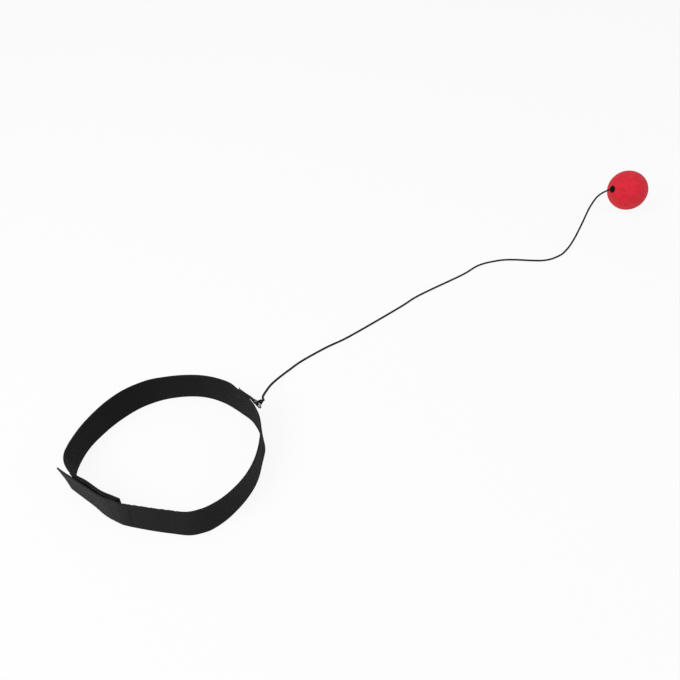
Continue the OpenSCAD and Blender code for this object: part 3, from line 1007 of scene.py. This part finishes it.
def make_ribbon():
    line = ribbon_line()
    section = webbing_section(RIBBON_W, RIBBON_T, ribs=6, relief=0.05, edge=0.4)
    stops = np.linspace(0, line.length, 130)

    def lift(stops):
        """The foot of the ribbon rises where it leaves the strap for the ring."""
        free = np.minimum(stops, line.length - stops) - RIBBON_SEWN
        return RIBBON_LIFT * smooth_step(free / LIFT_RUN + LIFT_LEAD)

    ribbon = strip("ribbon_fold", line, stops, section, RIBBON, low=RING_BAR[2] - RIBBON_W / 2, lift=lift)
    spots = [face_spot(RIBBON_RUN, along, RIBBON_FACE, RING_BAR[2], no_lean, True) for along in RIBBON_ROWS]
    return ribbon, stitches("ribbon_thread", spots, 19)


def make_ring():
    """Bent wire with a straight bar, two short arms with rounded corners and a round bow."""
    bow_r = RIBBON_W / 2 + SLACK + RING_WIRE / 2
    arm = RING_DEPTH - bow_r
    flat = [(0, z) for z in np.linspace(-bow_r + RING_CORNER, bow_r - RING_CORNER, 12)]
    corner = [(RING_CORNER - RING_CORNER * math.cos(t), bow_r - RING_CORNER + RING_CORNER * math.sin(t))
              for t in np.linspace(0, math.pi / 2, 8)[1:]]
    bow = [(arm + bow_r * math.sin(t), bow_r * math.cos(t)) for t in np.linspace(0, math.pi, 40)]
    flat += corner + bow + [(x, -z) for x, z in reversed(corner)]
    path = np.array([RING_BAR + RING_WAY * x + UP * z for x, z in flat])
    return tube("ring_wire", path, RING_WIRE / 2, 20, STEEL, closed=True)


# Cord, knots and ball

def cord_line():
    first = np.array(CORD_ROUTE[0], float)
    knot_way = unit(first - LOOP_AT)
    last = BALL_AT + BALL_WAY * GROMMET_FACE
    ends = [last + BALL_WAY * CORD_D, last, last - BALL_WAY * CORD_D]
    points = [first - knot_way * CORD_D, first, first + knot_way * CORD_D, *CORD_ROUTE[1:], *ends]
    line = smooth_line(points, 24)
    line[:, 2] = np.maximum(line[:, 2], CORD_D / 2)
    return knot_way, Line(line)


KNOT_WAY, CORD_LINE = cord_line()


def braid(along, turn):
    """Raised strands of a braid as a share of the cord's radius."""
    lay = 2 * math.pi * along / BRAID_PITCH
    return BRAID_RELIEF * np.sin(BRAID_STRANDS * turn + lay) * np.sin(BRAID_STRANDS * turn - lay)


def knotted_cord(name, points, radius):
    line = line_through(points, 8)
    path = line.place(np.linspace(0, line.length, KNOT_STOPS))
    return tube(name, path, radius, 14, CORD, relief=braid)


def make_cord():
    path = CORD_LINE.place(np.linspace(0, CORD_LINE.length, 2200))
    return tube("cord_braid", path, CORD_D / 2, 16, CORD, relief=braid), path


def make_ring_knot():
    """Cord round the ring's upper arm and three turns back over itself, with its cut end hanging down."""
    one = unit(RING_WAY - KNOT_WAY * (RING_WAY @ KNOT_WAY))
    two = np.cross(KNOT_WAY, one)
    away = unit(KNOT_WAY - RING_WAY * (KNOT_WAY @ RING_WAY))
    reach = np.linalg.norm(np.array(CORD_ROUTE[0]) - LOOP_AT)
    start = reach - (WRAPS - 1) * WRAP_STEP - CORD_D / 2 - KNOT_BACK

    def spot(forward, first, second):
        return LOOP_AT + KNOT_WAY * forward + one * first + two * second

    # Back along the cord, round the ring's arm, then the turns and the cut end
    points = [spot(reach + 0.6, 0, 0), spot(reach - 1.2, 0, 0), spot(reach - 2.6, 0, -0.1),
              spot(start + 0.4, 0, -0.35)]
    first_turn, last_turn = (math.radians(turn) for turn in KNOT_LOOP_TURN)
    for turn in np.linspace(first_turn, last_turn, 11):
        points.append(LOOP_AT + (away * math.sin(turn) - two * math.cos(turn)) * KNOT_LOOP_R)
    points.append(spot(start - 0.6, 0.1, 1.0))
    tail = unit(TAIL_WAY)
    leave = math.atan2(-tail @ one, tail @ two) % (2 * math.pi)
    turns = np.linspace(math.pi / 2, leave + (WRAPS - 1) * 2 * math.pi, 13 * WRAPS)
    for k, turn in enumerate(turns):
        forward = start + 0.3 + (WRAPS - 0.75) * WRAP_STEP * k / (len(turns) - 1)
        points.append(spot(forward, WRAP_R * math.cos(turn), WRAP_R * math.sin(turn)))
    end = points[-1]
    points += [end + tail * TAIL_L * share for share in (0.25, 0.5, 0.75, 1.0)]
    return knotted_cord("ring_knot_turns", points, RING_KNOT_R)


def make_stop_knot():
    """Straight run of cord through the ball and the knot that stops it behind the washer."""
    across, third = ball_axes()

    def spot(height, one, two):
        return BALL_AT + BALL_WAY * height + across * one + third * two

    points = [spot(height, 0, 0) for height in np.linspace(GROMMET_FACE - 1, KNOT_TOP, 18)]
    foot = KNOT_TOP - (WRAPS - 1) * WRAP_STEP - CORD_D
    points += [spot((KNOT_TOP + foot) / 2, 0, 0), spot(foot, 0.3, 0.2), spot(foot - 0.5, 1.2, 0.6)]
    turns = np.linspace(0.9, 0.9 + WRAPS * 2 * math.pi, 13 * WRAPS)
    for k, turn in enumerate(turns):
        height = foot + 0.3 + (KNOT_TOP - CORD_D / 2 - foot - 0.3) * k / (len(turns) - 1)
        points.append(spot(height, STOP_WRAP_R * math.cos(turn), STOP_WRAP_R * math.sin(turn)))
    points += [spot(KNOT_TOP - 1.6, 3.0, 2.6), spot(KNOT_TOP - 2.6, 4.0, 3.2)]
    return knotted_cord("stop_knot_turns", points, STOP_KNOT_R)


def foam_grain(point):
    """Uneven skin of the foam, as small moves out from the ball's centre."""
    distance = np.linalg.norm(point)
    if distance < BALL_R - FOAM_SKIN:
        return point
    rise = sum(height * noise.noise(Vector(point) * close) for height, close in FOAM_WAVES)
    return point * (1 + rise / distance)


def make_ball():
    seat_top = math.asin((SEAT_R + 0.5) / BALL_R)
    recess_top = math.pi - math.asin((RECESS_R + 0.7) / BALL_R)
    skin = [(BALL_R * math.sin(t), BALL_R * math.cos(t)) for t in np.linspace(seat_top, recess_top, 150)]
    edge = math.sqrt(BALL_R ** 2 - RECESS_R ** 2)
    mouth = [(RECESS_R + 0.25, -edge + 0.05), (RECESS_R + 0.04, -edge + 0.35), (RECESS_R, -edge + 0.9)]
    recess = [(RECESS_R, z) for z in np.linspace(-edge + 2.5, RECESS_FLOOR - 0.4, 8)]
    floor = [(RECESS_R - 0.5, RECESS_FLOOR), (4.5, RECESS_FLOOR), (BORE_R + 0.2, RECESS_FLOOR)]
    bore = [(BORE_R, z) for z in np.linspace(RECESS_FLOOR + 0.3, SEAT_FLOOR - 0.3, 24)]
    seat = [(BORE_R + 0.2, SEAT_FLOOR), (SEAT_R - 0.1, SEAT_FLOOR), (SEAT_R, SEAT_FLOOR + 0.1),
            (SEAT_R + 0.12, SEAT_FLOOR + 0.3)]
    profile = skin + mouth + recess + floor + bore + seat
    return lathe("foam_ball", profile[::-1], 220, FOAM, foam_grain)


def make_grommet():
    profile = outline((CORD_HOLE_R, SEAT_FLOOR - GROMMET_L), (BORE_R - 0.05, SEAT_FLOOR - GROMMET_L),
                      (BORE_R - 0.05, SEAT_FLOOR + 0.02), (GROMMET_R, SEAT_FLOOR + 0.02),
                      (GROMMET_R, GROMMET_FACE - 0.15), (GROMMET_R - 1.4, GROMMET_FACE + 0.05),
                      (2.6, GROMMET_FACE), (CORD_HOLE_R, GROMMET_FACE - 0.7), bend=0.7, steps=6)
    return lathe("plug_moulding", profile, 72, RUBBER)


def make_washer():
    low, high = RECESS_FLOOR - WASHER_T, RECESS_FLOOR - 0.02
    profile = outline((CORD_HOLE_R, low), (WASHER_R, low), (WASHER_R, high), (CORD_HOLE_R, high), bend=0.3)
    return lathe("washer_disc", profile, 64, NYLON)


# Floor, light and camera

def seen_directly(tree):
    """One on rays from the camera and in reflections, and nought on rays that carry light."""
    ray = tree.nodes.new("ShaderNodeLightPath").outputs
    seen = ray["Is Camera Ray"]
    for label in ("Is Glossy Ray", "Is Transmission Ray"):
        either = tree.nodes.new("ShaderNodeMath")
        either.operation = "MAXIMUM"
        tree.links.new(seen, either.inputs[0])
        tree.links.new(ray[label], either.inputs[1])
        seen = either.outputs[0]
    return seen


def make_floor():
    """Pale paper with a share of even glow where it is seen directly."""
    finish = Finish("pale_floor")
    nodes, links = finish.tree.nodes, finish.tree.links
    nodes.remove(finish.shader)
    grain = finish.noise(finish.solid(), 14, 3)
    paper = finish.node("ShaderNodeBsdfDiffuse")
    tone = finish.node("ShaderNodeMix", data_type="RGBA")
    links.new(grain, tone.inputs[0])
    tone.inputs[6].default_value = (0.84, 0.84, 0.845, 1)
    tone.inputs[7].default_value = (0.86, 0.86, 0.862, 1)
    links.new(tone.outputs[2], paper.inputs["Color"])
    glow = finish.node("ShaderNodeEmission")
    glow.inputs["Strength"].default_value = 1.0
    share = finish.math("MULTIPLY", seen_directly(finish.tree), FLOOR_GLOW)
    mixed = finish.node("ShaderNodeMixShader")
    links.new(share, mixed.inputs[0])
    links.new(paper.outputs[0], mixed.inputs[1])
    links.new(glow.outputs[0], mixed.inputs[2])
    links.new(mixed.outputs[0], nodes["Material Output"].inputs["Surface"])
    at = np.linspace(-FLOOR_HALF, FLOOR_HALF, FLOOR_STEPS + 1)
    points = [(x, y, -FLOOR_DROP) for x in at for y in at]
    faces = sheet_quads(len(at), len(at))[:, TURNED]
    return new_object("floor", points, faces.tolist(), finish.material)


def make_world():
    """White surround, stronger where it is seen directly than where it lights the object."""
    world = bpy.data.worlds.new("studio")
    world.use_nodes = True
    bpy.context.scene.world = world
    tree = world.node_tree
    background = tree.nodes["Background"]
    background.inputs["Color"].default_value = (1, 1, 1, 1)
    strength = tree.nodes.new("ShaderNodeMapRange")
    strength.inputs["To Min"].default_value = WORLD_LIGHT
    strength.inputs["To Max"].default_value = WORLD_SEEN
    tree.links.new(seen_directly(tree), strength.inputs["Value"])
    tree.links.new(strength.outputs[0], background.inputs["Strength"])


def soft_box(name, place, size, power):
    data = bpy.data.lights.new(name, "AREA")
    data.shape = "DISK"
    data.size = size
    data.energy = power
    lamp = bpy.data.objects.new(name, data)
    lamp.location = place
    lamp.rotation_euler = (Vector(LAMP_AIM) - Vector(place)).to_track_quat("-Z", "Y").to_euler()
    bpy.context.scene.collection.objects.link(lamp)


def make_camera():
    data = bpy.data.cameras.new("camera")
    data.sensor_width = SENSOR
    data.lens = SENSOR * FOCAL / PICTURE
    camera = bpy.data.objects.new("camera", data)
    tilt = math.radians(CAMERA_TILT)
    x, y = CAMERA_AIM
    camera.location = (x, y - CAMERA_FAR * math.cos(tilt), CAMERA_FAR * math.sin(tilt))
    camera.rotation_euler = (math.pi / 2 - tilt, 0, 0)
    bpy.context.scene.collection.objects.link(camera)
    bpy.context.scene.camera = camera


def make_studio():
    make_floor()
    make_world()
    for lamp in LAMPS:
        soft_box(*lamp)
    bpy.context.scene.view_settings.view_transform = "Standard"


# The object

def ride(body, slot, *pieces):
    for piece in pieces:
        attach(piece, body)


def bend(slot, *pieces):
    """Cloth of the flap, with each piece's placing baked into its mesh."""
    for piece in pieces:
        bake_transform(piece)


def make_headband():
    band, turns = make_strap()
    ride("headband", "webbing", band, turns)
    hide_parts("headband_strap")
    ground, pile, thread = make_loop_tape()
    ride("headband", "tape", ground, pile)
    ride("headband", "thread", thread)
    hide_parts("loop_tape")
    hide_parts("loop_tape_stitches")
    ribbon, thread = make_ribbon()
    ride("headband", "ribbon", ribbon)
    ride("headband", "thread", thread)
    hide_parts("ring_ribbon")
    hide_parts("ring_ribbon_stitches")


def make_closure():
    band, turns = make_flap()
    bend("webbing", band, turns)
    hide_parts("closure_flap")
    ground, hooks, thread = make_hook_tape()
    bend("tape", ground, hooks)
    bend("thread", thread)
    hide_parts("hook_tape")
    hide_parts("hook_tape_stitches")


def make_ring_and_cord():
    ring = make_ring()
    ride("ring", "ring", ring)
    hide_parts("anchor_ring")
    cord, path = make_cord()
    knot, stop = make_ring_knot(), make_stop_knot()
    ride("cord", "cord", cord, knot, stop)
    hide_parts("elastic_cord")
    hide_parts("ring_knot")
    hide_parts("cord_in_ball", "stop_knot")


def make_ball_pieces():
    ball, grommet, washer = make_ball(), make_grommet(), make_washer()
    ride("ball", "foam", ball)
    ride("ball", "grommet", grommet)
    ride("ball", "washer", washer)
    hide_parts("ball")
    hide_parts("ball_grommet")
    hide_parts("stop_washer")


make_camera()
make_studio()
make_ring_and_cord()
make_headband()
make_closure()
make_ball_pieces()
